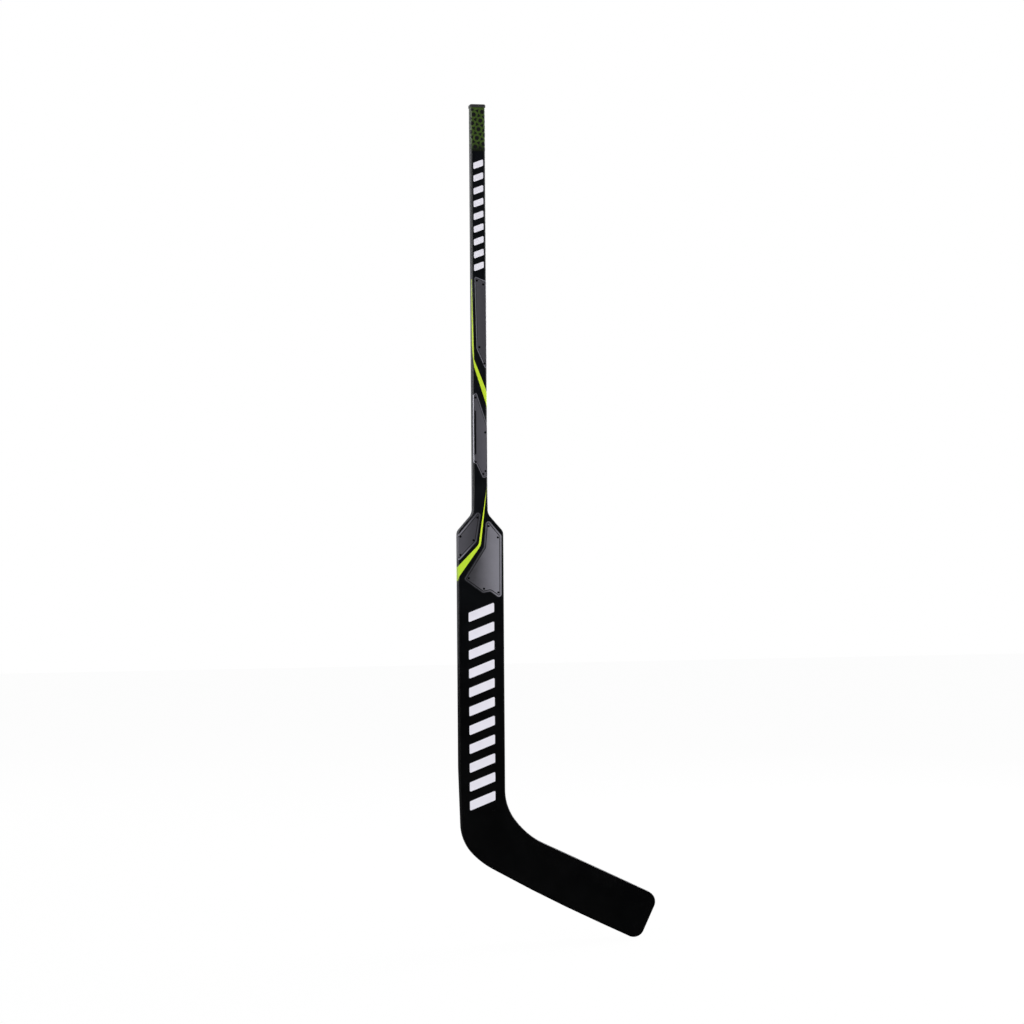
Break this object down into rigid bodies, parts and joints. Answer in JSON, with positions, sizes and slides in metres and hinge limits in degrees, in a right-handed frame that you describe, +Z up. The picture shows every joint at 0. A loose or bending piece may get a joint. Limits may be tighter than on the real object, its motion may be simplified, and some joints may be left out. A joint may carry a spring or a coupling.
{
  "type": "ice hockey goaltender stick",
  "caption": "Goaltender's ice hockey stick: hollow laminate shaft with end cap, wide foam-cored paddle and curved blade, black with lime stripes, grey panels and pale slanted bars.",
  "frame": {"origin": "middle of the hand grip, on the shaft's centre line just above the paddle's shoulder", "axes": "+Z up the shaft to the butt end, +X towards the toe of the blade, -Y out of the playing face"},
  "size_m": [0.3642, 0.0455, 1.5455],
  "materials": {
    "cap_plastic": "moulded, fine grain",
    "painted_laminate": "black paint under clear coat",
    "bare_laminate": "woven fibre in resin",
    "spine_wood": "planed, unfinished",
    "core_foam": "closed-cell foam",
    "dense_foam": "dense closed-cell foam",
    "edge_resin": "filled resin",
    "lattice_print": "printed under clear coat",
    "pale_print": "printed under clear coat",
    "grey_print": "satin metallic print",
    "lime_print": "printed under clear coat",
    "dark_print": "printed under clear coat"
  },
  "bodies": {
    "stick": {"shaft_tube": "painted_laminate", "front_skin": "painted_laminate", "back_skin": "painted_laminate", "spine": "spine_wood", "spine_web_heel_side": "bare_laminate", "spine_web_toe_side": "bare_laminate", "heel_block": "dense_foam", "paddle_core_heel_side": "core_foam", "paddle_core_toe_side": "core_foam", "ice_edge_bead": "edge_resin", "blade_rib": "bare_laminate", "blade_core_upper": "core_foam", "blade_core_lower": "core_foam", "butt_lattice_film": "lattice_print", "shaft_bar_films": "pale_print", "shaft_upper_panel_film": "grey_print", "shaft_stripe_film": "lime_print", "shaft_lower_panel_film": "grey_print", "paddle_stripe_film": "lime_print", "shoulder_heel_panel_film": "grey_print", "shoulder_toe_panel_film": "grey_print", "panel_dot_films": "dark_print", "paddle_bar_films": "pale_print"},
    "plug": {"end_cap": "cap_plastic"}
  },
  "joints": [
    {"name": "end_cap_pull", "type": "slide", "parent": "stick", "child": "plug", "axis": [0, 0, 1], "range_m": [0, 0.045]}
  ]
}
